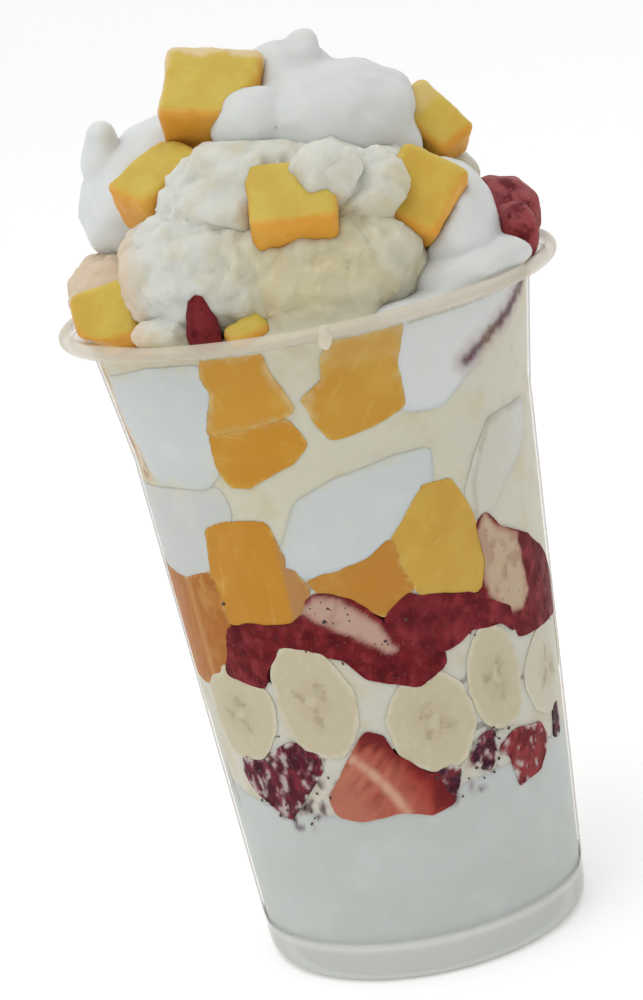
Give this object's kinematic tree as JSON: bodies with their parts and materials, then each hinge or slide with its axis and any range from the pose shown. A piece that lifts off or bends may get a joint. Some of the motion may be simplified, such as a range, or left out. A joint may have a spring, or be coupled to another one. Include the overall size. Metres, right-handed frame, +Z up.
{
  "type": "fruit cup",
  "caption": "Clear plastic cold cup filled with yogurt, dark fruit, banana slices, strawberry, mango cubes and ice cream, with whipped cream and fruit heaped over the rim",
  "frame": {"origin": "on the supporting surface at the middle of the cup's foot ring", "axes": "+Z up along the cup's axis, -Y towards the viewer of the shown side, +X to the viewer's right"},
  "size_m": [0.098, 0.098, 0.1831],
  "materials": {
    "clear_plastic": "clear glossy plastic with a slightly milky rolled lip",
    "yogurt": "smooth white yogurt, moist",
    "ice_cream": "soft pale yellow ice cream with a grainy melting surface",
    "whipped_cream": "smooth white whipped cream",
    "mango": "wet cut mango flesh",
    "banana": "moist cut banana with a darker seed star",
    "strawberry": "wet strawberry, red skin and paler cut flesh with seeds",
    "dark_berry": "broken dark red fruit with seeds and streaks of cream"
  },
  "bodies": {
    "root": {"banana_slice_back_left": "banana", "banana_slice_back_middle": "banana", "banana_slice_back_middle_left": "banana", "banana_slice_back_middle_right": "banana", "banana_slice_back_right": "banana", "banana_slice_front_left": "banana", "banana_slice_front_middle": "banana", "banana_slice_front_right": "banana", "banana_slice_left": "banana", "banana_slice_right": "banana", "cup": "clear_plastic", "dark_berry_back": "dark_berry", "dark_berry_far_right": "dark_berry", "dark_berry_front": "dark_berry", "dark_berry_left": "dark_berry", "dark_berry_right": "dark_berry", "ice_cream": "ice_cream", "mango_back_left": "mango", "mango_back_middle": "mango", "mango_back_right": "mango", "mango_back_upper_left": "mango", "mango_back_upper_right": "mango", "mango_bit_rim_front": "mango", "mango_bit_rim_left": "mango", "mango_rim_left": "mango", "mango_top_back_left": "mango", "mango_top_back_right": "mango", "mango_top_far_right": "mango", "mango_top_front": "mango", "mango_top_left": "mango", "mango_top_right": "mango", "mango_top_slab": "mango", "mango_upper_front": "mango", "mango_upper_left_high": "mango", "mango_upper_left_low": "mango", "mango_wall_far_left": "mango", "mango_wall_left": "mango", "mango_wall_middle": "mango", "mango_wall_right": "mango", "strawberry_bit_rim_front": "strawberry", "strawberry_half_front": "strawberry", "strawberry_piece_right": "strawberry", "strawberry_slice_back_left": "strawberry", "strawberry_slice_back_right": "strawberry", "strawberry_slice_left": "strawberry", "strawberry_slice_right": "strawberry", "strawberry_top_back": "strawberry", "strawberry_top_right": "strawberry", "strawberry_wedge_back": "strawberry", "strawberry_wedge_front": "strawberry", "whipped_cream_back": "whipped_cream", "whipped_cream_left": "whipped_cream", "whipped_cream_right": "whipped_cream", "whipped_cream_top": "whipped_cream", "whipped_patch_front": "whipped_cream", "whipped_patch_high_left": "whipped_cream", "whipped_patch_low_left": "whipped_cream", "whipped_streak_right": "whipped_cream", "yogurt": "yogurt"}
  },
  "joints": []
}
